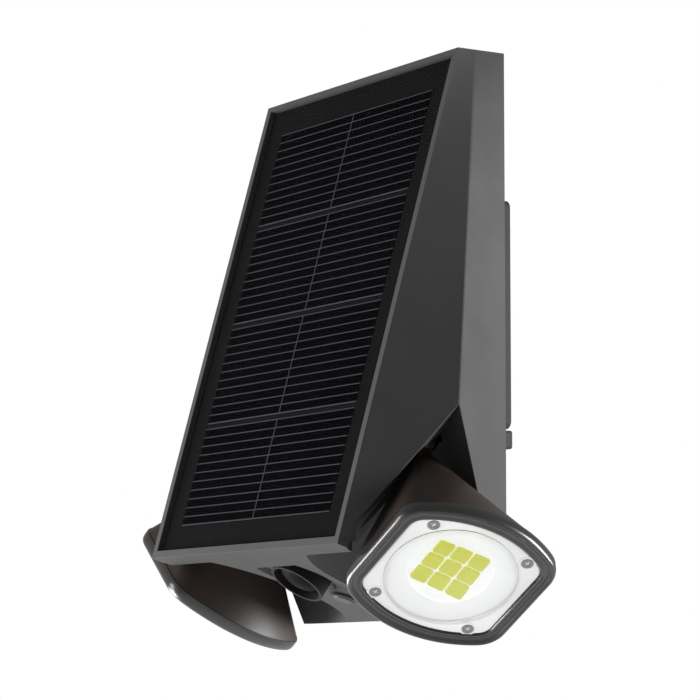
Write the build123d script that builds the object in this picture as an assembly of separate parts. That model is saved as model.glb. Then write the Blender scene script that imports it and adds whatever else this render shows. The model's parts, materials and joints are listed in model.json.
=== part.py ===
from build123d import *
from math import cos, radians, sin, sqrt, tan
import os

# Solar flood light with two aimable heads, sized in millimetres.
# Origin: centre of the wall plate's back face. +X right seen from the front, +Y into the wall, +Z up.

# --- casing outline ---
TOP_Z = 98.5            # flat top face
BACK_Y = -6.0           # back of the rear shell
FRONT_TOP_Y = -27.0     # front edge of the top face
FRONT_TILT = 15.8       # lean of the solar panel from vertical
HALF_W = 70.0           # half width at the top and along the panel
SHOULDER_Z = -37.6      # height of the widest point, over the heads
SEAM_Z = -86.3          # height of the front shell's lower corner
UNDER_SLOPE = 19.2      # fall of the underside towards the wall
UNDER_Y, UNDER_Z = -80.1, -89.0     # front bottom edge
FOOT_Z = -114.0         # rear bottom edge
# Crease points at each height: (front facet corner), (side strip corner)
CREASES = (
    (TOP_Z, (70.0, -19.5), (70.0, -18.9)),
    (SHOULDER_Z, (83.1, -36.3), (83.1, -35.7)),
    (SEAM_Z, (69.8, -77.3), (75.6, -18.3)),
    (FOOT_Z, (69.8, -86.9), (71.3, -8.3)),
)
WALL = 2.2              # general wall thickness
FRONT_WALL = 6.2        # front wall, which holds the solar panel
BASE_T = 2.9            # bottom cover thickness
BIG = 600.0             # cutting blocks

# --- solar panel ---
OPENING_W, OPENING_H = 134.0, 189.65
TOP_BORDER = 2.08
GLASS_W, GLASS_H, GLASS_T = 133.2, 188.9, 1.2
GLASS_RECESS = 0.56
CELL_W, CELL_H, CELL_T = 110.4, 40.2, 0.3
CELL_GAP, CELL_TOP = 2.2, 11.95
BACKSHEET_T, PANEL_SEAL_T = 1.5, 0.5
WINDOW_W, WINDOW_H = 116.0, 168.0

# --- pockets for the heads ---
LIP_Y = -72.4           # rear edge of the front lip
POCKET_X, POCKET_S, POCKET_R = 60.7, 41.5, 41.5   # round pocket in the underside, S along its slope
POCKET_FLARE = 35.0
POCKET_DEPTH = 10.5
CEILING_AIM = (0.4637, 0.6093, -0.6432)           # which way the sloped ceiling faces

# --- heads ---
PIVOT = (56.8, -37.5, -47.9)    # where the pan and tilt axes cross, right head
PAN_REST, TILT_REST = 6.6, 35.1  # the heads' aim at rest
FACE_AT = (17.2, -7.8, 58.7)    # centre of the rim's front, from the pivot in the head's own axes
FACE_HALF, FACE_CORNER_R, FACE_SIDE_R = 33.1, 12.0, 52.7
RIM_T, RIM_W = 5.2, 5.9
NECK_AT, NECK_R = (2.8, -1.3, 9.6), 4.4
HEAD_WALL = 2.0
BALL_R, BALL_GAP = 7.5, 0.35
TONGUE_T, SLOT_W, PIN_R = 3.2, 3.4, 1.25
STEM_R, FIT = 4.0, 0.05
WELL_R, WELL_TOP = 10.5, 10.0
SWING_R, SWING_L, SWING_FLARE, SWING_LIFT = 28.5, 32.0, 42.0, 4.0   # room round the neck to swing
SWING_SKIN = 1.6        # skin left over that room at the cut edge
LIP_CORNER_R = 3.2      # rounded rear corner of the front lip
SCREW_AT = 19.9
LENS_R, LENS_H, LENS_PLATE_T = 24.5, 8.0, 2.0
CHIP, CHIP_GAP, CHIP_T = 5.6, 1.2, 0.8

# --- sensor and button ---
SENSOR_AT, SENSOR_LEAN = (0.0, -55.0, -101.0), 34.9
SENSOR_R, SENSOR_WALL, SENSOR_LEN = 11.05, 1.1, 19.0
BUTTON_Y, BUTTON_R, BUTTON_TRAVEL = -33.5, 4.0, 0.8

# --- wall plate ---
PLATE_W, PLATE_H, PLATE_D, PLATE_T = 130.0, 87.0, 5.4, 2.5
PLATE_HOLE_R, HOLE_X, HOLE_Z = 2.25, 90.0, 56.0
HOOK_X, HOOK_Z, HOOK_W = 40.0, 12.0, 14.0
LEDGE_W, LEDGE_Z, LEDGE_H, LEDGE_D = 134.0, -44.4, 6.9, 5.0

LOW = (Align.CENTER, Align.CENTER, Align.MIN)
HIGH = (Align.CENTER, Align.CENTER, Align.MAX)
UNDER_UP = Vector(0, sin(radians(UNDER_SLOPE)), cos(radians(UNDER_SLOPE)))
UNDER_BACK = Vector(0, cos(radians(UNDER_SLOPE)), -sin(radians(UNDER_SLOPE)))
FRONT_OUT = Vector(0, -cos(radians(FRONT_TILT)), sin(radians(FRONT_TILT)))


def save(shape, name):
    """Write one sub-part."""
    solids = shape.solids()
    shape = solids[0] if len(solids) == 1 else Compound(children=solids)
    shape.label = name
    export_step(shape, f"parts/{name}.step")


def half_space(origin, normal):
    """Everything on the side of a plane that its normal points to."""
    return Plane(origin=tuple(origin), z_dir=tuple(normal)) * Box(BIG, BIG, BIG, align=LOW)


def rod(radius, length, origin, direction):
    """A cylinder that starts at origin and runs along direction."""
    return Plane(origin=tuple(origin), z_dir=tuple(direction)) * Cylinder(radius, length, align=LOW)


def block(x, y, z):
    """A box from its three ranges."""
    size = [high - low for low, high in (x, y, z)]
    middle = [(low + high) / 2 for low, high in (x, y, z)]
    return Pos(*middle) * Box(*size)


def joined(shapes):
    """Separate solids as one shape."""
    return Compound(children=[solid for shape in shapes for solid in shape.solids()])


def mirrored(shape):
    """The same piece on the left."""
    return mirror(shape, about=Plane.YZ)


def front_y(z):
    """Front face of the casing at a height."""
    return FRONT_TOP_Y - tan(radians(FRONT_TILT)) * (TOP_Z - z)


def hull(front=0.0, side=0.0, back=0.0, top=0.0):
    """The casing's outer form, or the same form moved inwards by each wall."""
    sections = []
    for z, facet, strip in CREASES:
        level = min(z, TOP_Z - top)
        face_y = front_y(level) + front / cos(radians(FRONT_TILT))
        facet_y = max(facet[1], face_y + 1.0)
        right = [(HALF_W - side, face_y), (facet[0] - side, facet_y),
                 (max(strip[0], facet[0]) - side if strip[1] < facet_y else strip[0] - side,
                  max(strip[1], facet_y + 0.5)), (HALF_W - side, BACK_Y - back)]
        left = [(-x, y) for x, y in reversed(right)]
        sections.append(Pos(0, 0, level) * make_face(Polyline(*right, *left, close=True)))
    return loft(sections, ruled=True)


def under_point(s, height=0.0):
    """A point on the casing's middle plane: s along the underside from its front edge."""
    return Vector(0, UNDER_Y, UNDER_Z) + UNDER_BACK * s + UNDER_UP * height


# The joint between the shells, just in front of the pockets' rear wall
PARTING = ((CREASES[0][2][1] - 0.35, TOP_Z), (CREASES[1][2][1] - 0.35, SHOULDER_Z), (CREASES[3][2][1] - 0.05, FOOT_Z))


def rear_zone():
    """What lies behind the joint between the front and rear shells."""
    (top_y, _), shoulder, foot = PARTING
    outline = Polyline((top_y, TOP_Z + 1), shoulder, foot, (foot[0], FOOT_Z - 20), (30, FOOT_Z - 20),
                       (30, TOP_Z + 1), close=True)
    return extrude(Plane.YZ * make_face(outline), BIG / 4, both=True)


def parting_y(z):
    """Where the two shells meet at a height."""
    (y1, z1), (y2, z2) = PARTING[:2] if z > SHOULDER_Z else PARTING[1:]
    return y1 + (y2 - y1) * (z1 - z) / (z1 - z2)


SHOULDER = Vector(83.1, -36.0, SHOULDER_Z)
REAR_WALL_OUT = Vector(0, FOOT_Z - SHOULDER_Z, -(-8.3 + 36.0)).normalized()
PAN_AXIS = Plane(origin=PIVOT, x_dir=(1, 0, 0), z_dir=tuple(UNDER_UP))
POCKET_AXIS = Plane(origin=tuple(under_point(POCKET_S) + Vector(POCKET_X, 0, 0)), x_dir=(1, 0, 0),
                    z_dir=tuple(UNDER_UP))


def head_frame():
    """Origin at the pivot, X along the tilt pin, Z out of the lens."""
    pan, tilt = radians(PAN_REST), radians(TILT_REST)
    pin = UNDER_BACK * cos(pan) + Vector(1, 0, 0) * sin(pan)
    outward = Vector(1, 0, 0) * cos(pan) - UNDER_BACK * sin(pan)
    aim = outward * sin(tilt) - UNDER_UP * cos(tilt)
    return Plane(origin=PIVOT, x_dir=tuple(pin), z_dir=tuple(aim))


def pocket(grow=0.0):
    """The right head's recess in the casing, or the same with its walls added."""
    flare = tan(radians(POCKET_FLARE))
    below, above = 30.0, (POCKET_R + grow - 2.0) / flare
    cone = POCKET_AXIS * (Pos(0, 0, -below) * Cone(
        POCKET_R + grow + below * flare, 2.0, below + above, align=LOW))
    outside = block((POCKET_X - grow, 150), (-150, 60), (-180, 60))
    room = cone + outside
    room &= half_space(SHOULDER - REAR_WALL_OUT * grow, REAR_WALL_OUT)
    room &= half_space((0, LIP_Y - grow, 0), (0, 1, 0))
    under_ceiling = room & half_space(SHOULDER - Vector(*CEILING_AIM) * grow, CEILING_AIM)
    shallow = room & half_space(under_point(0, POCKET_DEPTH + grow), -UNDER_UP)
    well = rod(WELL_R + grow, WELL_TOP + grow, PIVOT, UNDER_UP) + Pos(*PIVOT) * Sphere(BALL_R + 0.9 + grow)
    well += rod(WELL_R + grow, 46.0, PIVOT, -UNDER_UP) & half_space(
        SHOULDER - REAR_WALL_OUT * grow, REAR_WALL_OUT)
    aim = (head_frame() * Pos(*FACE_AT)).position - Vector(*PIVOT)
    swing = Plane(origin=PIVOT, z_dir=tuple(aim)) * Cone(
        3.0 + grow, 3.0 + grow + SWING_L * tan(radians(SWING_FLARE)), SWING_L, align=LOW)
    swing &= Pos(*PIVOT) * Sphere(SWING_R + grow)
    swing &= hull(FRONT_WALL, SWING_SKIN)
    swing &= half_space(SHOULDER - REAR_WALL_OUT * grow, REAR_WALL_OUT)
    swing &= half_space(SHOULDER - Vector(*CEILING_AIM) * (SWING_LIFT + grow), CEILING_AIM)
    corner = rod(LIP_CORNER_R + grow, 24.0, Vector(HALF_W + 1, LIP_Y, SEAM_Z - 4) - UNDER_UP * 12, UNDER_UP)
    corner &= half_space(under_point(0, BASE_T + 0.3), -UNDER_UP)
    return under_ceiling + shallow + well + swing + corner


def both_pockets(grow=0.0):
    right = pocket(grow)
    return right + mirrored(right)


# --- casing shells ---
SHELL_SCREWS = ((60, 84), (-60, 84), (66, 8), (-66, 8), (14, -76), (-14, -76))
SEAT_Y = 7.5            # screw head seat behind the joint between the shells
BASE_SCREW = (12.0, 62.0)   # across, and back along the underside
STACK_T = GLASS_RECESS + GLASS_T + CELL_T + BACKSHEET_T + PANEL_SEAL_T
SENSOR_OUT = Vector(0, -sin(radians(SENSOR_LEAN)), -cos(radians(SENSOR_LEAN)))
BUTTON_S = (BUTTON_Y - UNDER_Y) / UNDER_BACK.Y
BUTTON_AXIS = Plane(origin=tuple(under_point(BUTTON_S)), x_dir=(1, 0, 0), z_dir=tuple(UNDER_UP))


def front_plate(width, height, depth, thick, top=TOP_BORDER):
    """A plate parallel to the front face, depth below it, its top edge measured down the slope."""
    slope = Plane(origin=(0, FRONT_TOP_Y, TOP_Z), x_dir=(1, 0, 0), z_dir=tuple(FRONT_OUT))
    return slope * Pos(0, -top, -depth) * Box(width, height, thick, align=(Align.CENTER, Align.MAX, Align.MAX))


def base_spot(x, s):
    """A frame on the underside: x across, s back from its front edge, z up into the casing."""
    origin = under_point(s) + Vector(x, 0, 0)
    return Plane(origin=tuple(origin), x_dir=(1, 0, 0), z_dir=tuple(UNDER_UP))


def make_casing():
    """Front shell, rear shell and bottom cover, cut from one hollow form."""
    outer = hull() - both_pockets() - half_space(under_point(0), -UNDER_UP)
    cavity = hull(FRONT_WALL, WALL, WALL, WALL) - both_pockets(WALL) - half_space(under_point(0, BASE_T), -UNDER_UP)
    posts = [rod(4.8, BACK_Y + 0.1 - front_y(z), (x, front_y(z), z), (0, 1, 0)) for x, z in SHELL_SCREWS]
    posts.append(base_spot(*BASE_SCREW) * Cylinder(3.5, BASE_T + 9.0, align=LOW))
    posts.append(base_spot(0, BASE_SCREW[1]) * Box(56, 2.0, BASE_T + 9.0, align=LOW))
    walls = outer - cavity + (Compound(children=posts) & outer)
    behind = rear_zone()
    base_zone = half_space(under_point(0, BASE_T), -UNDER_UP)
    rear = walls & behind
    front = walls - behind - base_zone
    base = (walls - behind) & base_zone
    return front, rear, base


def stem_holes():
    hole = rod(STEM_R + 0.3, 30.0, PIVOT, UNDER_UP)
    return hole + mirrored(hole)


def finish_front(front):
    """Seat for the solar panel, swivel holes and screw pilots."""
    front -= front_plate(OPENING_W, OPENING_H + 0.6, 0, STACK_T)
    front -= front_plate(WINDOW_W, WINDOW_H, 0, FRONT_WALL + 0.3, top=TOP_BORDER + 10)
    front -= stem_holes()
    for x, z in SHELL_SCREWS:
        front -= rod(1.45, 15.0, (x, parting_y(z) + SEAT_Y, z), (0, -1, 0))
    return front - base_spot(*BASE_SCREW) * Cylinder(1.25, BASE_T + 7.0, align=LOW)


def finish_rear(rear):
    """Hook slots, wall-plate ledge, circuit-board posts and screw holes."""
    ledge = block((-LEDGE_W / 2, LEDGE_W / 2), (BACK_Y, BACK_Y + LEDGE_D), (LEDGE_Z - LEDGE_H, LEDGE_Z))
    ledge = fillet(ledge.edges().filter_by(Axis.Y), 1.2)
    rear += ledge
    for x in (-40, 40):
        for z in (-28, 0):
            rear += rod(3.0, 5.0, (x, BACK_Y - WALL, z), (0, -1, 0)) - rod(1.2, 5.0, (x, BACK_Y - WALL, z), (0, -1, 0))
    rear -= stem_holes()
    for x in (-HOOK_X, HOOK_X):
        rear -= block((x - 7.5, x + 7.5), (BACK_Y - WALL - 0.1, BACK_Y + 0.1), (HOOK_Z - 5.0, HOOK_Z + 4.0))
    for x, z in SHELL_SCREWS:
        seat = parting_y(z) + SEAT_Y
        rear -= rod(1.7, 40.0, (x, BACK_Y + 0.1, z), (0, -1, 0))
        rear -= rod(3.3, BACK_Y + 0.1 - seat, (x, BACK_Y + 0.1, z), (0, -1, 0))
    rear -= rod(1.6, 20.0, (0, BACK_Y + 2.8, LEDGE_Z + 1), (0, 0, -1))
    return rear - rod(3.0, 1.9, (0, BACK_Y + 2.8, LEDGE_Z - LEDGE_H - 0.1), (0, 0, 1))


def finish_base(base):
    """Sensor opening with its scoop, button hole with its collar, and screw holes."""
    scoop = Plane(origin=tuple(Vector(*SENSOR_AT) - SENSOR_OUT * 9.0), z_dir=tuple(SENSOR_OUT)) * Cone(
        12.4, 18.4, 9.0, align=LOW)
    base += BUTTON_AXIS * (Pos(0, 0, -1.2) * Cylinder(BUTTON_R + 1.6, 1.4, align=LOW))
    floor = base & half_space(under_point(0, BASE_T - 1.0), UNDER_UP)
    base = base - scoop + floor
    base -= rod(SENSOR_R + 0.1, 60.0, Vector(*SENSOR_AT) - SENSOR_OUT * 30.0, SENSOR_OUT)
    base -= BUTTON_AXIS * (Pos(0, 0, -5) * Cylinder(BUTTON_R + FIT, 20, align=LOW))
    base -= base_spot(*BASE_SCREW) * Pos(0, 0, -1) * Cylinder(1.6, 10, align=LOW)
    return base - base_spot(*BASE_SCREW) * Cylinder(2.7, 1.6, align=LOW)


def pan_head_screw(shank_r, length, head_r, head_t):
    """A screw pointing along -Z with its head's underside at the origin and a cross recess."""
    slot = Box(head_r * 1.1, head_r * 0.28, head_t, align=LOW)
    cross = Pos(0, 0, head_t * 0.45) * (slot + Rot(0, 0, 90) * slot)
    return Cylinder(head_r, head_t, align=LOW) - cross + Cylinder(shank_r, length, align=HIGH)


def save_casing():
    front, rear, base = make_casing()
    save(finish_front(front), "front_shell")
    save(finish_rear(rear), "rear_shell")
    save(finish_base(base), "bottom_cover")
    shell_screw = pan_head_screw(1.4, 12.5, 3.0, 1.7)
    save(joined([Plane(origin=(x, parting_y(z) + SEAT_Y, z), z_dir=(0, 1, 0)) * shell_screw
                 for x, z in SHELL_SCREWS]), "shell_screws")
    base_screw = Rot(180, 0, 0) * pan_head_screw(1.2, 8.0, 2.5, 1.3)
    save(base_spot(*BASE_SCREW) * Pos(0, 0, 1.5) * base_screw, "base_screw")


# --- solar panel ---
def save_panel():
    depth = GLASS_RECESS
    side = TOP_BORDER + (OPENING_H - GLASS_H) / 2
    save(front_plate(GLASS_W, GLASS_H, depth, GLASS_T, side), "panel_glass")
    depth += GLASS_T
    tops = [TOP_BORDER + CELL_TOP + row * (CELL_H + CELL_GAP) for row in range(4)]
    save(joined([front_plate(CELL_W, CELL_H, depth, CELL_T, top) for top in tops]), "solar_cells")
    depth += CELL_T
    save(front_plate(GLASS_W, GLASS_H, depth, BACKSHEET_T, side), "panel_backsheet")
    depth += BACKSHEET_T
    seal = front_plate(GLASS_W, GLASS_H, depth, PANEL_SEAL_T, side)
    save(seal - front_plate(WINDOW_W, WINDOW_H, 0, 10, TOP_BORDER + 10), "panel_seal")


# --- battery and electronics on the rear shell ---
CELL18_R, CELL18_L = 9.2, 65.2
BATTERY_Y, BATTERY_Z = -19.3, (28.0, 49.0)
PCB_Y, PCB_T = BACK_Y - WALL - 5.0, 1.6


def save_battery():
    cells = [Pos(0, BATTERY_Y, z) * Rot(0, 90, 0) * Cylinder(CELL18_R, CELL18_L) for z in BATTERY_Z]
    save(joined(cells), "battery_cells")
    low, high = BATTERY_Z[0] - 11.0, BATTERY_Z[1] + 11.0
    tray = block((-37.5, 37.5), (BATTERY_Y - 3, BACK_Y - WALL), (low, high))
    for z in BATTERY_Z:
        tray -= Pos(0, BATTERY_Y, z) * Rot(0, 90, 0) * Cylinder(CELL18_R + 0.2, 68.4)
    save(tray, "battery_holder")
    contacts = []
    for end in (-1, 1):
        strip = block((33.6, 34.1), (BATTERY_Y - 3, BATTERY_Y + 4), (BATTERY_Z[0] - 4, BATTERY_Z[1] + 4))
        buttons = [Pos(33.1, BATTERY_Y, z) * Rot(0, 90, 0) * Cylinder(3.0, 0.99) for z in BATTERY_Z]
        contact = strip + buttons[0] + buttons[1]
        inside = block((33.6, 34.1), (BATTERY_Y - 3, BATTERY_Y + 4), (36, 41))
        contact -= inside
        contacts.append(contact if end == 1 else mirrored(contact))
    save(joined(contacts), "battery_contacts")


def save_electronics():
    board = block((-45, 45), (PCB_Y - PCB_T, PCB_Y), (-33, 5))
    spots = [(x, z) for x in (-40, 40) for z in (-28, 0)]
    for x, z in spots:
        board -= rod(1.4, 10, (x, PCB_Y + 1, z), (0, -1, 0))
    save(board, "control_board")
    screw = pan_head_screw(1.15, 5.0, 2.2, 1.3)
    save(joined([Plane(origin=(x, PCB_Y - PCB_T, z), z_dir=(0, -1, 0)) * screw for x, z in spots]), "board_screws")
    face = PCB_Y - PCB_T
    parts = [
        block((-6, 6), (face - 1.6, face), (-20, -12)),                 # controller chip
        block((14, 22), (face - 4, face), (-26, -18)),                  # choke
        block((-32, -22), (face - 5.8, face), (-12, -4)),               # panel connector
        block((-30, -20), (face - 5.8, face), (-31, -24)),              # left head connector
        block((24, 34), (face - 5.8, face), (-12, -4)),                 # right head connector
        rod(3.2, 9, (8, face, -2), (0, -1, 0)),                         # capacitors
        rod(3.2, 9, (16, face, -4), (0, -1, 0)),
        block((-14, -8), (face - 2, face), (-6, -1)),                   # charge switch
    ]
    save(joined(parts), "board_components")


# --- motion sensor and mode button ---
def save_sensor():
    axis = Plane(origin=SENSOR_AT, x_dir=(1, 0, 0), z_dir=tuple(SENSOR_OUT))
    tube = axis * Cylinder(SENSOR_R, SENSOR_LEN, align=HIGH)
    tube -= axis * (Pos(0, 0, 1) * Cylinder(SENSOR_R - SENSOR_WALL, SENSOR_LEN - 2.0, align=HIGH))
    tube -= axis * (Pos(0, 0, -SENSOR_LEN) * Cylinder(2.0, 10))
    save(tube, "sensor_tube")
    base_r, rise = SENSOR_R - SENSOR_WALL - 0.05, 3.4
    sphere_r = (base_r ** 2 + rise ** 2) / (2 * rise)
    outer = Pos(0, 0, rise - sphere_r) * Sphere(sphere_r)
    inner = Pos(0, 0, rise - sphere_r) * Sphere(sphere_r - 0.8)
    dome = (outer - inner) & Cylinder(base_r, 20, align=LOW)
    skirt = Cylinder(base_r, 2.5, align=HIGH) - Cylinder(base_r - 0.8, 2.5, align=HIGH)
    save(axis * Pos(0, 0, -3.4) * (dome + skirt), "sensor_lens")
    can = Cylinder(4.1, 4.0, align=LOW) + Cylinder(4.6, 0.5, align=LOW)
    save(axis * Pos(0, 0, -11.5) * (can - Pos(0, 0, 3.4) * Box(3, 4, 2, align=LOW)), "sensor_chip")
    board = axis * (Pos(0, 0, -11.5) * Cylinder(base_r - 0.2, 1.2, align=HIGH))
    save(board, "sensor_board")


def save_button():
    cap = Pos(0, 0, -1.7) * Cylinder(BUTTON_R, 5.2, align=LOW)
    cap = fillet(cap.edges().sort_by(Axis.Z)[:1], 0.6)
    flange = Pos(0, 0, BASE_T + 0.02) * Cylinder(BUTTON_R + 1.2, 0.8, align=LOW)
    stem = Pos(0, 0, 3.0) * Cylinder(1.5, 3.2, align=LOW)
    save(BUTTON_AXIS * (cap + flange + stem), "mode_button")
    switch_z = 6.2 + BUTTON_TRAVEL + 0.1
    switch = Pos(0, 0, switch_z) * Cylinder(1.6, 1.0, align=LOW) + Pos(0, 0, switch_z + 1.0) * Box(6, 6, 3, align=LOW)
    save(BUTTON_AXIS * switch, "button_switch")
    board = Pos(0, 0, switch_z + 4.0) * Box(24, 10, 1.6, align=LOW)
    save(BUTTON_AXIS * board, "switch_board")


# --- wall plate ---
def save_wall_plate():
    plate = block((-PLATE_W / 2, PLATE_W / 2), (-PLATE_D, 0), (-PLATE_H / 2, PLATE_H / 2))
    plate = fillet(plate.edges().filter_by(Axis.Y), 3.0)
    plate -= block((-PLATE_W / 2 + 2.5, PLATE_W / 2 - 2.5), (-PLATE_D - 1, -PLATE_T),
                   (-PLATE_H / 2 + 6.0, PLATE_H / 2 - 2.5))
    for x in (-HOOK_X, HOOK_X):
        arm = block((x - HOOK_W / 2, x + HOOK_W / 2), (-11.0, -PLATE_T), (HOOK_Z - 4.4, HOOK_Z - 1.9))
        tip = block((x - HOOK_W / 2, x + HOOK_W / 2), (-11.0, BACK_Y - WALL - 0.1), (HOOK_Z - 4.4, HOOK_Z + 3.6))
        plate += arm + tip
        web = block((x - 1, x + 1), (-PLATE_T - 3, -PLATE_T), (HOOK_Z - 12, HOOK_Z - 4.4))
        plate += web
    for x in (-HOLE_X / 2, HOLE_X / 2):
        for z in (-HOLE_Z / 2, HOLE_Z / 2):
            plate -= rod(PLATE_HOLE_R, 10, (x, 1, z), (0, -1, 0))
    plate -= rod(1.25, 7.0, (0, BACK_Y + 2.8, -PLATE_H / 2 - 1), (0, 0, 1))
    save(plate, "wall_plate")
    screw = Rot(180, 0, 0) * pan_head_screw(1.2, 11.0, 2.8, 1.7)
    save(Pos(0, BACK_Y + 2.8, LEDGE_Z - LEDGE_H + 1.8) * screw, "lock_screw")


# --- heads ---
def face_outline(inset=0.0):
    """Rounded square with two straight and two bowed sides, centred on the origin."""
    half, corner_r, side_r = FACE_HALF - inset, FACE_CORNER_R - inset, FACE_SIDE_R - inset
    cx = half - corner_r
    cy = (half - side_r) + sqrt((side_r - corner_r) ** 2 - cx ** 2)
    reach = side_r / (side_r - corner_r)
    tx, ty = cx * reach, (half - side_r) + (cy - half + side_r) * reach
    lean = Vector(tx - cx, ty - cy).normalized() + Vector(1, 0)
    mx, my = tuple(Vector(cx, cy) + lean.normalized() * corner_r)[:2]
    return Wire([
        Line((half, -cy), (half, cy)), ThreePointArc((half, cy), (mx, my), (tx, ty)),
        ThreePointArc((tx, ty), (0, half), (-tx, ty)), ThreePointArc((-tx, ty), (-mx, my), (-half, cy)),
        Line((-half, cy), (-half, -cy)), ThreePointArc((-half, -cy), (-mx, -my), (-tx, -ty)),
        ThreePointArc((-tx, -ty), (0, -half), (tx, -ty)), ThreePointArc((tx, -ty), (mx, -my), (half, -cy))])


def neck_outline(radius):
    """A circle in eight arcs that line up with the face outline's eight edges."""
    turns = [-25, 25, 65, 115, 155, 205, 245, 295, 335]
    spots = [(radius * cos(radians(a)), radius * sin(radians(a))) for a in turns]
    mids = [(a + b) / 2 for a, b in zip(turns, turns[1:])]
    mids = [(radius * cos(radians(a)), radius * sin(radians(a))) for a in mids]
    return Wire([ThreePointArc(p, m, q) for p, m, q in zip(spots, mids, spots[1:])])


def face_slab(low, high, inset=0.0):
    """The face outline as a plate between two depths, in the head's frame."""
    return Pos(FACE_AT[0], FACE_AT[1], low) * extrude(make_face(face_outline(inset)), high - low)


def face_disc(radius, low, high):
    return Pos(FACE_AT[0], FACE_AT[1], low) * Cylinder(radius, high - low, align=LOW)


FACE_Z = FACE_AT[2]
RIM_BACK = FACE_Z - RIM_T
SCREW_SPOTS = [(FACE_AT[0] + x, FACE_AT[1] + y) for x in (-SCREW_AT, SCREW_AT) for y in (-SCREW_AT, SCREW_AT)]


def cone_form(inset):
    """The head's body: face outline drawn down to the neck."""
    wide = Pos(FACE_AT[0], FACE_AT[1], RIM_BACK) * make_face(face_outline(0.5 + inset))
    if inset:
        near = (NECK_AT[2] + 16 - NECK_AT[2]) / (RIM_BACK - NECK_AT[2])
        x = NECK_AT[0] + (FACE_AT[0] - NECK_AT[0]) * near
        y = NECK_AT[1] + (FACE_AT[1] - NECK_AT[1]) * near
        narrow = Pos(x, y, NECK_AT[2] + 16) * make_face(neck_outline(NECK_R + 4.5))
    else:
        narrow = Pos(*NECK_AT) * make_face(neck_outline(NECK_R))
    return loft([narrow, wide], ruled=True)


def head_housing():
    outer = cone_form(0.0)
    shell = outer - cone_form(HEAD_WALL)
    shelf = (Pos(0, 0, 44.5) * Box(200, 200, 2.0, align=LOW)) & outer
    shell += shelf - face_disc(17.5, 40, 50)
    for x, y in SCREW_SPOTS:
        shell += (Pos(x, y, 47.5) * Cylinder(3.2, RIM_BACK - 47.5, align=LOW)) & outer
    neck = Pos(*NECK_AT) * Cylinder(NECK_R - 0.4, 6.0, align=HIGH)
    shell += neck
    shell -= Sphere(BALL_R + BALL_GAP)
    tongue = Box(TONGUE_T, 7.0, 13.0, align=LOW) & Rot(0, 90, 0) * Cylinder(13.0, TONGUE_T)
    tongue += Rot(0, 90, 0) * Cylinder(3.5, TONGUE_T)
    shell += tongue - Rot(0, 90, 0) * Cylinder(PIN_R + FIT, TONGUE_T * 2)
    for x, y in SCREW_SPOTS:
        shell -= Pos(x, y, RIM_BACK) * Cylinder(1.25, 5.5, align=HIGH)
    return shell


def head_pieces():
    """Every piece that tilts with the right head, in the head's frame."""
    rim = face_slab(RIM_BACK, FACE_Z) - face_slab(RIM_BACK - 1, FACE_Z + 1, RIM_W)
    rim = fillet(rim.edges().filter_by_position(Axis.Z, FACE_Z - 0.01, FACE_Z + 0.01), 1.6)
    fins = [face_disc(14.0, 39.5, 46.5) & Pos(FACE_AT[0] + 4.4 * i, FACE_AT[1], 43) * Box(1.6, 40, 10)
            for i in range(-3, 4)]
    heatsink = face_disc(19.5, 46.5, 50.4)
    for fin in fins:
        heatsink += fin
    chips = []
    for i in (-1, 0, 1):
        for j in (-1, 0, 1):
            x, y = FACE_AT[0] + i * (CHIP + CHIP_GAP), FACE_AT[1] + j * (CHIP + CHIP_GAP)
            chips.append(Pos(x, y, 52.0) * Box(CHIP, CHIP, CHIP_T, align=LOW))
    tray = face_slab(RIM_BACK, RIM_BACK + 1.1, RIM_W + 0.2) - face_disc(23.0, 50, 60)
    bowl = Pos(FACE_AT[0], FACE_AT[1], 52.2) * (
        Cone(15.5, 23.6, 2.4, align=LOW) - Cone(14.5, 22.6, 2.4, align=LOW))
    tray += bowl
    seal = face_slab(54.6, 55.2, RIM_W + 0.2) - face_disc(LENS_R, 50, 60)
    sphere_r = (LENS_R ** 2 + LENS_H ** 2) / (2 * LENS_H)
    plate_top = 55.2 + LENS_PLATE_T
    dome = Pos(FACE_AT[0], FACE_AT[1], plate_top + LENS_H - sphere_r) * Sphere(sphere_r)
    dome &= Pos(0, 0, plate_top) * Box(200, 200, 50, align=LOW)
    lens = face_slab(55.2, plate_top, RIM_W + 0.2) + dome
    screws = []
    for x, y in SCREW_SPOTS:
        seal -= Pos(x, y, 50) * Cylinder(1.5, 10, align=LOW)
        tray -= Pos(x, y, 50) * Cylinder(1.5, 10, align=LOW)
        lens -= Pos(x, y, 50) * Cylinder(1.5, 10, align=LOW)
        lens -= Pos(x, y, plate_top - 1.0) * Cylinder(2.5, 10, align=LOW)
        screws.append(Pos(x, y, plate_top - 1.0) * pan_head_screw(1.2, 7.5, 2.2, 1.3))
    return {"housing": head_housing(), "rim": rim, "heatsink": heatsink,
            "led_board": face_disc(20.0, 50.4, 52.0), "led_chips": joined(chips), "reflector": tray,
            "lens_seal": seal, "lens": lens, "lens_screws": joined(screws)}


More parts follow.
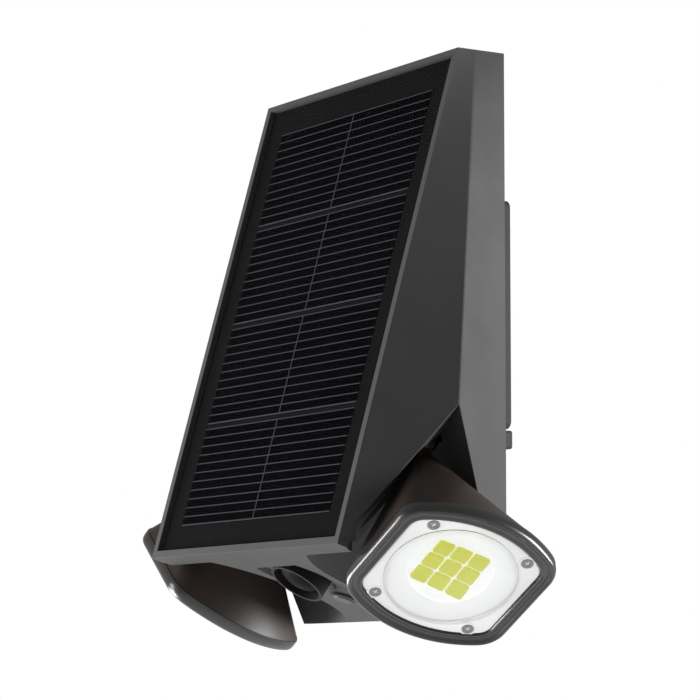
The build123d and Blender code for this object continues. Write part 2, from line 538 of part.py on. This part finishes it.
def swivel_pieces():
    """The knuckle the head hangs from, and the socket it turns in, in world axes."""
    frame = head_frame()
    ball = PAN_AXIS * (Sphere(BALL_R) + Cylinder(STEM_R, 20.0, align=LOW))
    pin_axis = frame.x_dir
    slot_frame = Plane(origin=PIVOT, x_dir=tuple(pin_axis), z_dir=tuple(UNDER_UP))
    ball -= slot_frame * (Pos(0, 0, 4.6) * Box(SLOT_W, 40, 40, align=HIGH))
    ball -= slot_frame * Rot(0, 90, 0) * Cylinder(PIN_R + 0.01, 40)
    ball -= PAN_AXIS * Cylinder(1.5, 40, align=LOW)
    pin = slot_frame * Rot(0, 90, 0) * Cylinder(PIN_R, 13.0)
    socket = PAN_AXIS * (Pos(0, 0, 2.5) * Cylinder(WELL_R - 0.1, WELL_TOP - 2.5, align=LOW))
    socket -= PAN_AXIS * Sphere(BALL_R + FIT)
    socket -= PAN_AXIS * Cylinder(STEM_R + FIT, 40, align=LOW)
    deck = WELL_TOP + WALL
    ring = Cylinder(7.0, 0.8, align=LOW) - Cylinder(STEM_R + 0.02, 0.8, align=LOW)
    washer = PAN_AXIS * Pos(0, 0, deck + 0.1) * ring
    hexagon = extrude(RegularPolygon(6.5, 6), 3.5) - Cylinder(STEM_R + 0.01, 4, align=LOW)
    nut = PAN_AXIS * Pos(0, 0, deck + 1.0) * hexagon
    return {"swivel_knuckle": ball, "tilt_pin": pin, "swivel_socket": socket, "swivel_washer": washer,
            "swivel_nut": nut}


def save_heads():
    frame = head_frame()
    pieces = {name: frame * piece for name, piece in head_pieces().items()}
    pieces.update(swivel_pieces())
    for name, piece in pieces.items():
        save(piece, f"right_{name}")
        save(mirrored(piece), f"left_{name}")


os.makedirs("parts", exist_ok=True)
save_casing()
save_panel()
save_battery()
save_electronics()
save_sensor()
save_button()
save_wall_plate()
save_heads()
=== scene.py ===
import json
import math

import bmesh
import bpy
from mathutils import Matrix, Vector

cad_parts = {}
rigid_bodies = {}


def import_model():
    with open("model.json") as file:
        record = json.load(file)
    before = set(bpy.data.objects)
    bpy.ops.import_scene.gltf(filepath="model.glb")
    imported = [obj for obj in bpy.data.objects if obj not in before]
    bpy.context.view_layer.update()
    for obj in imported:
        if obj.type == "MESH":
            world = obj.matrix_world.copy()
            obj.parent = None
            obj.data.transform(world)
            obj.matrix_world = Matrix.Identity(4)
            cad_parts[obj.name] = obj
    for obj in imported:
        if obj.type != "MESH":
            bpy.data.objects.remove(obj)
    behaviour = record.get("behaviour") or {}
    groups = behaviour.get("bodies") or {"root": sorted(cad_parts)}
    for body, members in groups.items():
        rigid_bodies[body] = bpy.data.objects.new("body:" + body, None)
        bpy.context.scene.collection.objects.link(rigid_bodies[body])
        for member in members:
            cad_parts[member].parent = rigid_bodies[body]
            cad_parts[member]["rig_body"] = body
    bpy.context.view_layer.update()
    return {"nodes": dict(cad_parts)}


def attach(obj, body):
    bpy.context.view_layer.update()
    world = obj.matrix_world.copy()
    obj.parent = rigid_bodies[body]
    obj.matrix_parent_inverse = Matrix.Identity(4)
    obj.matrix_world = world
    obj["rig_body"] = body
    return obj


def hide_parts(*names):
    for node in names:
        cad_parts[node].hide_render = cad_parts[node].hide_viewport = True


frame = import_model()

MM = 0.001
NODES = frame["nodes"]

# Casing directions and places, in the part's own frame; places are in millimetres
SLOPE = math.radians(19.2)
UNDER_UP = Vector((0, math.sin(SLOPE), math.cos(SLOPE)))
UNDER_BACK = Vector((0, math.cos(SLOPE), -math.sin(SLOPE)))
FRONT_TILT = math.radians(15.8)
FRONT_DOWN = Vector((0, -math.sin(FRONT_TILT), -math.cos(FRONT_TILT)))
FRONT_OUT = Vector((0, -math.cos(FRONT_TILT), math.sin(FRONT_TILT)))
FRONT_TOP = Vector((0, -27.0, 98.5))
PIVOT = Vector((56.8, -37.5, -47.9))
PAN, TILT = math.radians(6.6), math.radians(35.1)


# ---------------------------------------------------------------- materials
def new_material(name):
    mat = bpy.data.materials.new(name)
    mat.use_nodes = True
    nodes = mat.node_tree.nodes
    return mat, nodes, mat.node_tree.links, nodes["Principled BSDF"]


def texture_space(nodes, links, scale):
    coord = nodes.new("ShaderNodeTexCoord")
    mapping = nodes.new("ShaderNodeMapping")
    mapping.inputs["Scale"].default_value = (scale, scale, scale)
    links.new(coord.outputs["Object"], mapping.inputs["Vector"])
    return mapping.outputs["Vector"]


def noise(nodes, links, space, scale, detail=4.0, rough=0.55):
    tex = nodes.new("ShaderNodeTexNoise")
    tex.inputs["Scale"].default_value = scale
    tex.inputs["Detail"].default_value = detail
    tex.inputs["Roughness"].default_value = rough
    links.new(space, tex.inputs["Vector"])
    return tex.outputs["Fac"]


def ramp(nodes, links, fac, low, high, start=0.3, stop=0.7):
    node = nodes.new("ShaderNodeValToRGB")
    node.color_ramp.elements[0].position = start
    node.color_ramp.elements[1].position = stop
    node.color_ramp.elements[0].color = (*low, 1.0)
    node.color_ramp.elements[1].color = (*high, 1.0)
    links.new(fac, node.inputs["Fac"])
    return node.outputs["Color"]


def value_range(nodes, links, fac, low, high):
    node = nodes.new("ShaderNodeMapRange")
    node.inputs["To Min"].default_value = low
    node.inputs["To Max"].default_value = high
    links.new(fac, node.inputs["Value"])
    return node.outputs["Result"]


def bump(nodes, links, bsdf, height, strength, distance):
    node = nodes.new("ShaderNodeBump")
    node.inputs["Strength"].default_value = strength
    node.inputs["Distance"].default_value = distance
    links.new(height, node.inputs["Height"])
    links.new(node.outputs["Normal"], bsdf.inputs["Normal"])


def moulded(name, color, rough, grain=1400.0, depth=0.00003, spread=0.08, coat=0.0, specular=0.5):
    """Moulded plastic: fine grain, faint tone drift and uneven gloss."""
    mat, nodes, links, bsdf = new_material(name)
    space = texture_space(nodes, links, 1.0)
    drift = noise(nodes, links, space, 22.0, 3.0)
    low = [c * (1.0 - spread) for c in color]
    high = [c * (1.0 + spread) for c in color]
    links.new(ramp(nodes, links, drift, low, high), bsdf.inputs["Base Color"])
    gloss = noise(nodes, links, space, 60.0, 4.0)
    uneven = value_range(nodes, links, gloss, rough * 0.88, min(1.0, rough * 1.12))
    links.new(uneven, bsdf.inputs["Roughness"])
    if depth:
        bump(nodes, links, bsdf, noise(nodes, links, space, grain, 2.0), 0.35, depth)
    bsdf.inputs["Specular IOR Level"].default_value = specular
    bsdf.inputs["Coat Weight"].default_value = coat
    bsdf.inputs["Coat Roughness"].default_value = 0.12
    return mat


def metal(name, color, rough, grain=900.0):
    """Turned or stamped metal with fine brushing."""
    mat, nodes, links, bsdf = new_material(name)
    space = texture_space(nodes, links, 1.0)
    marks = noise(nodes, links, space, grain, 3.0)
    links.new(ramp(nodes, links, marks, [c * 0.85 for c in color], color), bsdf.inputs["Base Color"])
    links.new(value_range(nodes, links, marks, rough * 0.8, rough * 1.25), bsdf.inputs["Roughness"])
    bsdf.inputs["Metallic"].default_value = 1.0
    bump(nodes, links, bsdf, marks, 0.2, 0.00001)
    return mat


def clear(name, color, rough, ior=1.49):
    """Clear moulded plastic with a barely uneven tint and roughness."""
    mat, nodes, links, bsdf = new_material(name)
    space = texture_space(nodes, links, 1.0)
    wave = noise(nodes, links, space, 35.0, 2.0)
    links.new(ramp(nodes, links, wave, [c * 0.99 for c in color], color), bsdf.inputs["Base Color"])
    links.new(value_range(nodes, links, wave, rough, rough + 0.01), bsdf.inputs["Roughness"])
    bsdf.inputs["Transmission Weight"].default_value = 1.0
    bsdf.inputs["IOR"].default_value = ior
    return mat


def cover_glass(name):
    """The panel's thin cover: lets the cells show and adds a faint veil."""
    mat, nodes, links, bsdf = new_material(name)
    space = texture_space(nodes, links, 1.0)
    smear = noise(nodes, links, space, 14.0, 4.0)
    veil = ramp(nodes, links, smear, (0.004, 0.004, 0.005), (0.006, 0.006, 0.007))
    links.new(veil, bsdf.inputs["Base Color"])
    links.new(value_range(nodes, links, smear, 0.10, 0.16), bsdf.inputs["Roughness"])
    links.new(value_range(nodes, links, smear, 0.06, 0.09), bsdf.inputs["Alpha"])
    bsdf.inputs["Specular IOR Level"].default_value = 0.15
    return mat


def add_glow(mat, color, strength):
    """Paints a glow into the surface by emission. On the reflector, LED board, phosphor tiles and frosted
    plate this is painted light, standing in for the bright return of a diffusing surface under a clear dome;
    on the floor it only keeps the floor evenly bright.
    """
    bsdf = mat.node_tree.nodes["Principled BSDF"]
    bsdf.inputs["Emission Color"].default_value = (*color, 1.0)
    bsdf.inputs["Emission Strength"].default_value = strength
    return mat


CASING = moulded("casing_matt_plastic", (0.044, 0.044, 0.045), 0.60, specular=0.22)
PLATE = moulded("plate_matt_plastic", (0.040, 0.040, 0.041), 0.66, specular=0.25)
INNER = moulded("inner_black_plastic", (0.008, 0.008, 0.009), 0.55, specular=0.2)
HEAD = moulded("head_bronze_plastic", (0.026, 0.0170, 0.0135), 0.42, depth=0.000006, spread=0.05)
RIM = moulded("rim_satin_plastic", (0.017, 0.0165, 0.016), 0.30, depth=0.000006, coat=0.35, specular=0.5)
SEAL = moulded("seal_rubber", (0.008, 0.008, 0.008), 0.8, specular=0.15)
BACKSHEET = moulded("backsheet_black", (0.0048, 0.0048, 0.0048), 0.5, depth=0, specular=0.02)
CELL = moulded("cell_dark_silicon", (0.0002, 0.0002, 0.0007), 0.4, depth=0, spread=0.3, specular=0.004)
FINGER = moulded("finger_silver", (0.058, 0.058, 0.066), 0.45, depth=0, specular=0.05)
STEEL = metal("screw_steel", (0.36, 0.36, 0.37), 0.34)
DARK_STEEL = metal("screw_dark_steel", (0.22, 0.22, 0.22), 0.45)
ALLOY = metal("cast_alloy", (0.20, 0.20, 0.21), 0.42)
HEATSINK = metal("heatsink_aluminium", (0.5, 0.5, 0.5), 0.35)
NICKEL = metal("nickel_contacts", (0.5, 0.49, 0.46), 0.25)
WRAP = moulded("battery_wrap", (0.02, 0.08, 0.2), 0.32, coat=0.4)
BOARD = moulded("circuit_board_green", (0.006, 0.06, 0.026), 0.35, coat=0.3)
PARTS = moulded("component_black", (0.012, 0.012, 0.012), 0.45)
# Painted light: the reflector, LED board, phosphor tiles and frosted plate glow by emission, standing in for
# light returned under the clear dome; their base colours are their own.
WHITE_GLOW = add_glow(moulded("reflector_white", (0.88, 0.88, 0.88), 0.3, depth=0.000004, spread=0.01), (1, 1, 1), 0.3)
LED_BASE_GLOW = add_glow(moulded("led_board_white_painted_glow", (0.85, 0.85, 0.85), 0.4, depth=0, spread=0.02), (1, 1, 1), 0.35)
PHOSPHOR_GLOW = add_glow(moulded("led_phosphor_yellow_painted_glow", (0.20, 0.21, 0.003), 0.6, grain=5000.0, depth=0.00001),
               (0.58, 0.60, 0.0), 0.7)
SENSOR_DOME = moulded("sensor_dome_black", (0.004, 0.004, 0.0045), 0.45, depth=0, specular=0.03)
BUTTON = moulded("button_plastic", (0.045, 0.045, 0.046), 0.45, specular=0.3)
LENS = clear("lens_clear", (0.98, 0.99, 0.99), 0.0)
FROST_GLOW = add_glow(moulded("lens_plate_frosted_painted_glow", (0.72, 0.72, 0.72), 0.4, grain=2600.0, depth=0.000008, spread=0.05),
            (1, 1, 1), 0.12)
GLASS = cover_glass("panel_cover_glass")

LOOKS = {
    "front_shell": CASING, "rear_shell": CASING, "bottom_cover": CASING, "wall_plate": PLATE,
    "lock_screw": STEEL, "shell_screws": STEEL, "base_screw": STEEL, "board_screws": STEEL,
    "panel_glass": GLASS, "solar_cells": CELL, "panel_backsheet": BACKSHEET, "panel_seal": SEAL,
    "battery_cells": WRAP, "battery_holder": INNER, "battery_contacts": NICKEL,
    "control_board": BOARD, "board_components": PARTS, "switch_board": BOARD, "button_switch": PARTS,
    "sensor_tube": INNER, "sensor_lens": SENSOR_DOME, "sensor_chip": NICKEL, "sensor_board": BOARD,
    "mode_button": BUTTON,
}
SIDE_LOOKS = {
    "swivel_socket": INNER, "swivel_knuckle": ALLOY, "tilt_pin": STEEL, "swivel_washer": STEEL,
    "swivel_nut": STEEL, "housing": HEAD, "rim": RIM, "heatsink": HEATSINK, "led_board": LED_BASE_GLOW,
    "led_chips": PHOSPHOR_GLOW, "reflector": WHITE_GLOW, "lens_seal": SEAL, "lens": LENS, "lens_screws": DARK_STEEL,
}
for side in ("right", "left"):
    LOOKS.update({f"{side}_{name}": mat for name, mat in SIDE_LOOKS.items()})
for name, mat in LOOKS.items():
    NODES[name].data.materials.clear()
    NODES[name].data.materials.append(mat)


# ---------------------------------------------------------------- mesh helpers
def add_mesh(name, points, faces, mat, smooth=30.0):
    """A mesh from points in metres, smooth except at edges sharper than the angle."""
    mesh = bpy.data.meshes.new(name)
    mesh.from_pydata([tuple(p) for p in points], [], faces)
    mesh.update()
    bm = bmesh.new()
    bm.from_mesh(mesh)
    bmesh.ops.remove_doubles(bm, verts=bm.verts, dist=1e-6)
    bmesh.ops.recalc_face_normals(bm, faces=bm.faces)
    bm.to_mesh(mesh)
    bm.free()
    mesh.materials.append(mat)
    obj = bpy.data.objects.new(name, mesh)
    bpy.context.scene.collection.objects.link(obj)
    shade(obj, smooth)
    return obj


def shade(obj, angle):
    for poly in obj.data.polygons:
        poly.use_smooth = True
    bm = bmesh.new()
    bm.from_mesh(obj.data)
    for edge in bm.edges:
        edge.smooth = len(edge.link_faces) == 2 and edge.calc_face_angle(0) < math.radians(angle)
    bm.to_mesh(obj.data)
    bm.free()


def softened(node, mat, width, segments=2, angle=12.0):
    """The CAD piece again with its outward moulded edges rounded off.

    Only truly flat faces are merged, because merging curved ones moves the pocket walls
    into the heads' travel.
    """
    source = NODES[node]
    obj = bpy.data.objects.new(node + "_skin", source.data.copy())
    bpy.context.scene.collection.objects.link(obj)
    bm = bmesh.new()
    bm.from_mesh(obj.data)
    bmesh.ops.remove_doubles(bm, verts=bm.verts, dist=2e-6)
    bmesh.ops.dissolve_limit(bm, angle_limit=math.radians(0.01), verts=bm.verts, edges=bm.edges)
    weight = bm.edges.layers.float.new("bevel_weight_edge")
    for edge in bm.edges:
        outward = edge.is_convex and edge.calc_face_angle(0) > math.radians(angle)
        edge[weight] = 1.0 if outward else 0.0
    bm.to_mesh(obj.data)
    bm.free()
    bevel = obj.modifiers.new("soft_edges", "BEVEL")
    bevel.width = width * MM
    bevel.segments = segments
    bevel.limit_method = "WEIGHT"
    bevel.use_clamp_overlap = True
    bevel.harden_normals = True
    shade(obj, angle)
    obj.data.materials.clear()
    obj.data.materials.append(mat)
    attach(obj, source["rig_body"])
    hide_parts(node)


def box_faces(points, faces, corner, across, down, deep, size):
    """Adds a box: corner point, three unit directions and three lengths, all in mm."""
    start = len(points)
    for i in (0, 1):
        for j in (0, 1):
            for k in (0, 1):
                points.append((corner + across * size[0] * i + down * size[1] * j + deep * size[2] * k) * MM)
    for quad in ((0, 1, 3, 2), (4, 6, 7, 5), (0, 4, 5, 1), (2, 3, 7, 6), (0, 2, 6, 4), (1, 5, 7, 3)):
        faces.append(tuple(start + q for q in quad))


def ringed(name, rings, mat, cap_start=False, cap_end=False, smooth=35.0):
    """A skin through rings of points that all have the same count."""
    points, faces = [], []
    count = len(rings[0])
    for ring in rings:
        points.extend(p * MM for p in ring)
    for r in range(len(rings) - 1):
        for i in range(count):
            j = (i + 1) % count
            faces.append((r * count + i, r * count + j, (r + 1) * count + j, (r + 1) * count + i))
    if cap_start:
        faces.append(tuple(reversed(range(count))))
    if cap_end:
        faces.append(tuple(range((len(rings) - 1) * count, len(rings) * count)))
    return add_mesh(name, points, faces, mat, smooth)


def settle(obj, body, nodes):
    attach(obj, body)
    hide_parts(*nodes)


# ---------------------------------------------------------------- solar panel
# Millimetres down the panel's slope, across it, and into it from its front plane
CELL_TOP, CELL_W, CELL_H, CELL_PITCH = 14.03, 110.4, 40.2, 42.4
CELL_ROWS = 4
STRIPES = 11
HALF_GAP = 0.45
LINE_W = 0.34
BUSBAR_W = 0.4
GLASS_TOP, GLASS_W, GLASS_H = 2.18, 133.8, 189.45
GLASS_DEEP, GLASS_THICK = 0.56, 1.0


def panel_corner(x, down, deep):
    return FRONT_TOP + FRONT_DOWN * down - FRONT_OUT * deep + Vector((x, 0, 0))


def make_cells():
    """Silicon strips with printed conductor lines between them and a gap down the middle."""
    across, down, deep = Vector((1, 0, 0)), FRONT_DOWN, -FRONT_OUT
    cells, cell_faces, lines, line_faces = [], [], [], []
    pitch = CELL_H / STRIPES
    width = CELL_W / 2 - HALF_GAP
    for row in range(CELL_ROWS):
        top = CELL_TOP + row * CELL_PITCH
        for x in (-CELL_W / 2, HALF_GAP):
            for k in range(STRIPES):
                corner = panel_corner(x, top + k * pitch + LINE_W / 2, 1.79)
                box_faces(cells, cell_faces, corner, across, down, deep, (width, pitch - LINE_W, 0.26))
            for k in range(STRIPES + 1):
                start = min(max(top + k * pitch - LINE_W / 2, top), top + CELL_H - LINE_W)
                corner = panel_corner(x - 0.1, start, 1.765)
                box_faces(lines, line_faces, corner, across, down, deep, (width + 0.2, LINE_W, 0.28))
        busbar = panel_corner(-BUSBAR_W / 2, top, 1.775)
        box_faces(lines, line_faces, busbar, across, down, deep, (BUSBAR_W, CELL_H, 0.27))
    obj = add_mesh("cell_strips", cells, cell_faces, CELL, 5.0)
    settle(obj, "casing", ["solar_cells"])
    obj = add_mesh("conductor_lines", lines, line_faces, FINGER, 5.0)
    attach(obj, "casing")


def slab(name, width, height, top_deep, thick, mat, edge=0.3):
    """A sheet in the panel's frame with its edges eased."""
    rings = []
    for inset, deep in ((edge, top_deep), (0.0, top_deep + edge), (0.0, top_deep + thick)):
        w, low, high = width / 2 - inset, GLASS_TOP + inset, GLASS_TOP + height - inset
        rings.append([panel_corner(-w, low, deep), panel_corner(w, low, deep),
                      panel_corner(w, high, deep), panel_corner(-w, high, deep)])
    return ringed(name, rings, mat, cap_start=True, cap_end=True, smooth=5.0)


make_cells()
cover = slab("panel_cover", GLASS_W, GLASS_H, GLASS_DEEP, GLASS_THICK, GLASS)
settle(cover, "casing", ["panel_glass"])
for node, slot, width in (("front_shell", "casing_plastic", 0.35), ("rear_shell", "casing_plastic", 0.3),
                          ("bottom_cover", "casing_plastic", 0.3), ("wall_plate", "plate_plastic", 0.4)):
    softened(node, LOOKS[node], width)

# ---------------------------------------------------------------- heads
PIN = UNDER_BACK * math.cos(PAN) + Vector((1, 0, 0)) * math.sin(PAN)
OUTWARD = Vector((1, 0, 0)) * math.cos(PAN) - UNDER_BACK * math.sin(PAN)
AIM = OUTWARD * math.sin(TILT) - UNDER_UP * math.cos(TILT)
ACROSS = AIM.cross(PIN)
FACE_X, FACE_Y = 17.2, -7.8
HALF, CORNER_R, SIDE_R = 33.1, 12.0, 52.7


def head_point(x, y, z, mirror):
    p = PIVOT + PIN * x + ACROSS * y + AIM * z
    return Vector((p.x * mirror, p.y, p.z))


def outline(inset, steps=14):
    """The face outline moved inwards, as points round the head's axis."""
    half, corner_r, side_r = HALF - inset, CORNER_R - inset, SIDE_R - inset
    cx = half - corner_r
    cy = (half - side_r) + math.sqrt((side_r - corner_r) ** 2 - cx ** 2)
    turn = math.atan2(cy - (half - side_r), cx)
    quarter = [(half, cy * t / steps) for t in range(steps)]
    quarter += [(cx + corner_r * math.cos(turn * t / steps), cy + corner_r * math.sin(turn * t / steps))
                for t in range(steps)]
    quarter += [(side_r * math.cos(turn + (math.pi / 2 - turn) * t / steps),
                 half - side_r + side_r * math.sin(turn + (math.pi / 2 - turn) * t / steps))
                for t in range(steps)]
    first = quarter + [(0, half)]
    second = [(-x, y) for x, y in reversed(quarter)]
    upper = first + second
    lower = [(-x, -y) for x, y in upper][1:-1]
    return upper + lower


def outline_ring(inset, z, mirror):
    return [head_point(FACE_X + x, FACE_Y + y, z, mirror) for x, y in outline(inset)]


def circle_like(radius, z, mirror):
    """A circle whose points line up with the outline's points."""
    ring = []
    for x, y in outline(6.0):
        a = math.atan2(y, x)
        ring.append(head_point(FACE_X + radius * math.cos(a), FACE_Y + radius * math.sin(a), z, mirror))
    return ring


def spot_ring(x, y, radius, z, mirror, count=24):
    return [head_point(x + radius * math.cos(2 * math.pi * i / count),
                       y + radius * math.sin(2 * math.pi * i / count), z, mirror) for i in range(count)]


PLATE_BACK, PLATE_FRONT, PLATE_INSET = 55.3, 57.2, 5.95
DOME_R, DOME_H = 24.4, 7.9
HOLLOW_R, HOLLOW_H = 21.5, 3.4
DOME_STEPS = 18
SCREW_OFFSET = 19.9
LED_PITCH, LED_HALF, LED_CORNER = 6.8, 2.95, 0.7

# Distance in from the face outline, and height along the head's axis
RIM_PROFILE = ((0.9, 53.5), (0.25, 53.6), (0.0, 54.1), (0.0, 56.5), (0.12, 57.3), (0.4, 57.95), (0.85, 58.45),
               (1.3, 58.65), (1.75, 58.5), (2.2, 58.05), (2.7, 57.55), (3.3, 57.25), (3.9, 57.3), (4.5, 57.6),
               (4.95, 57.85), (5.35, 57.85), (5.7, 57.5), (5.88, 56.9), (5.88, 54.0), (5.7, 53.5))


def make_rim(side, mirror):
    rings = [outline_ring(inset, z, mirror) for inset, z in RIM_PROFILE]
    rings.append(rings[0])
    obj = ringed(f"{side}_rim_ring", rings, RIM)
    settle(obj, f"{side}_head", [f"{side}_rim"])


def bulge(radius, height, r):
    """Height at radius r of a spherical cap that is `height` tall over a circle of `radius`."""
    ball = (radius ** 2 + height ** 2) / (2 * height)
    return height - ball + math.sqrt(ball ** 2 - r * r)


def make_plate(side, mirror):
    """The frosted plate, with a round hole for the dome."""
    rings = [outline_ring(PLATE_INSET, PLATE_BACK, mirror), outline_ring(PLATE_INSET, 56.9, mirror)]
    start, stop = outline_ring(6.3, PLATE_FRONT, mirror), circle_like(24.9, PLATE_FRONT, mirror)
    rings += [[a.lerp(b, t / 6) for a, b in zip(start, stop)] for t in range(7)]
    rings += [circle_like(24.5, 57.0, mirror), circle_like(24.45, 55.4, mirror)]
    rings += [circle_like(24.45, 55.25, mirror), outline_ring(PLATE_INSET, 55.25, mirror)]
    rings.append(rings[0])
    obj = ringed(f"{side}_lens_plate", rings, FROST_GLOW)
    settle(obj, f"{side}_head", [f"{side}_lens"])


def make_dome(side, mirror):
    """The clear dome, with a shallow hollow underneath."""
    hollow, outside = [], [circle_like(DOME_R, PLATE_BACK, mirror)]
    for t in range(DOME_STEPS + 1):
        turn = math.pi / 2 * t / DOME_STEPS
        r = HOLLOW_R * math.sin(turn)
        hollow.append(circle_like(max(r, 0.05), PLATE_BACK + bulge(HOLLOW_R, HOLLOW_H, r), mirror))
        r = DOME_R * math.cos(turn)
        outside.append(circle_like(max(r, 0.05), PLATE_FRONT + bulge(DOME_R, DOME_H, r), mirror))
    obj = ringed(f"{side}_lens_dome", hollow + outside, LENS, cap_start=True, cap_end=True)
    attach(obj, f"{side}_head")


def make_screw_wells(side, mirror):
    """A raised collar and a well round each lens screw."""
    profile = ((3.3, 57.19), (3.2, 57.32), (2.9, 57.36), (2.6, 57.3), (2.45, 57.0), (2.4, 56.3), (2.3, 56.25))
    for index, (dx, dy) in enumerate(((-1, -1), (-1, 1), (1, -1), (1, 1))):
        x, y = FACE_X + dx * SCREW_OFFSET, FACE_Y + dy * SCREW_OFFSET
        rings = [spot_ring(x, y, r, z, mirror) for r, z in profile]
        well = ringed(f"{side}_screw_well_{index}", rings, FROST_GLOW)
        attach(well, f"{side}_head")


def make_leds(side, mirror):
    """Nine phosphor tiles with rounded corners and a fine raised border."""
    points, faces = [], []
    for i in (-1, 0, 1):
        for j in (-1, 0, 1):
            cx, cy = FACE_X + i * LED_PITCH, FACE_Y + j * LED_PITCH
            half, r = LED_HALF, LED_CORNER
            start = len(points)
            loops = ((0.0, 52.05), (0.0, 52.6), (0.15, 52.78), (0.4, 52.79), (0.5, 52.7))
            for inset, z in loops:
                for q in range(4):
                    for t in range(5):
                        a = math.pi / 2 * (q + t / 4)
                        sx, sy = (1 if q in (0, 3) else -1), (1 if q in (0, 1) else -1)
                        x = cx + sx * (half - r) + (r - inset * 0.6) * math.cos(a) - sx * inset * 0.4
                        y = cy + sy * (half - r) + (r - inset * 0.6) * math.sin(a) - sy * inset * 0.4
                        points.append(head_point(x, y, z, mirror) * MM)
            for loop in range(len(loops) - 1):
                for k in range(20):
                    n = (k + 1) % 20
                    base = start + loop * 20
                    faces.append((base + k, base + n, base + 20 + n, base + 20 + k))
            faces.append(tuple(start + (len(loops) - 1) * 20 + k for k in range(20)))
    obj = add_mesh(f"{side}_led_tiles", points, faces, PHOSPHOR_GLOW, 30.0)
    settle(obj, f"{side}_head", [f"{side}_led_chips"])


for side, mirror in (("right", 1), ("left", -1)):
    make_rim(side, mirror)
    make_plate(side, mirror)
    make_dome(side, mirror)
    make_screw_wells(side, mirror)
    make_leds(side, mirror)

# ---------------------------------------------------------------- camera, light, floor


def matrix_from(right, up, back, where):
    rows = [[right[i], up[i], back[i], where[i]] for i in range(3)]
    return Matrix(rows + [[0, 0, 0, 1]])


camera_data = bpy.data.cameras.new("camera")
camera_data.lens = 154.458
camera_data.sensor_width = 36.0
camera_data.clip_end = 50.0
camera = bpy.data.objects.new("camera", camera_data)
camera.matrix_world = matrix_from((0.53120, 0.84725, 0.00068), (0.09660, -0.06136, 0.99343),
                                  (0.84172, -0.52764, -0.11444), (0.98607, -0.64900, -0.14337))
bpy.context.scene.collection.objects.link(camera)
bpy.context.scene.camera = camera


def area_light(name, where, aim, size, power):
    data = bpy.data.lights.new(name, "AREA")
    data.shape = "RECTANGLE"
    data.size, data.size_y = size
    data.energy = power
    obj = bpy.data.objects.new(name, data)
    obj.location = where
    obj.rotation_euler = (Vector(aim) - Vector(where)).to_track_quat("-Z", "Y").to_euler()
    bpy.context.scene.collection.objects.link(obj)


world = bpy.data.worlds.new("studio")
world.use_nodes = True
tree = world.node_tree
background = tree.nodes["Background"]
background.inputs["Color"].default_value = (1.0, 1.0, 1.0, 1.0)
background.inputs["Strength"].default_value = 0.3
backdrop = tree.nodes.new("ShaderNodeBackground")
backdrop.inputs["Color"].default_value = (1.0, 1.0, 1.0, 1.0)
backdrop.inputs["Strength"].default_value = 1.0
path = tree.nodes.new("ShaderNodeLightPath")
mix = tree.nodes.new("ShaderNodeMixShader")
tree.links.new(path.outputs["Is Camera Ray"], mix.inputs["Fac"])
tree.links.new(background.outputs["Background"], mix.inputs[1])
tree.links.new(backdrop.outputs["Background"], mix.inputs[2])
tree.links.new(mix.outputs["Shader"], tree.nodes["World Output"].inputs["Surface"])
bpy.context.scene.world = world
bpy.context.scene.view_settings.view_transform = "Standard"
area_light("side_right", (0.85, 1.3, 0.0), (0.1, -0.03, 0), (0.5, 1.0), 40.0)
area_light("under_left", (-0.55, -0.6, -0.34), (-0.05, -0.06, -0.1), (0.6, 0.35), 14.0)
area_light("front_left", (-0.6, -1.25, 0.05), (0, -0.05, 0), (0.5, 0.7), 9.0)

floor_mesh = bpy.data.meshes.new("floor")
FLOOR_HALF, FLOOR_Z = 9.0, -1.5
corners = [(x * FLOOR_HALF, y * FLOOR_HALF, FLOOR_Z) for x, y in ((-1, -1), (1, -1), (1, 1), (-1, 1))]
floor_mesh.from_pydata(corners, [], [(0, 1, 2, 3)])
floor_look = moulded("floor_pale", (0.86, 0.86, 0.86), 0.8, grain=40.0, spread=0.01)
floor_mesh.materials.append(add_glow(floor_look, (1, 1, 1), 0.5))
floor = bpy.data.objects.new("floor", floor_mesh)
bpy.context.scene.collection.objects.link(floor)
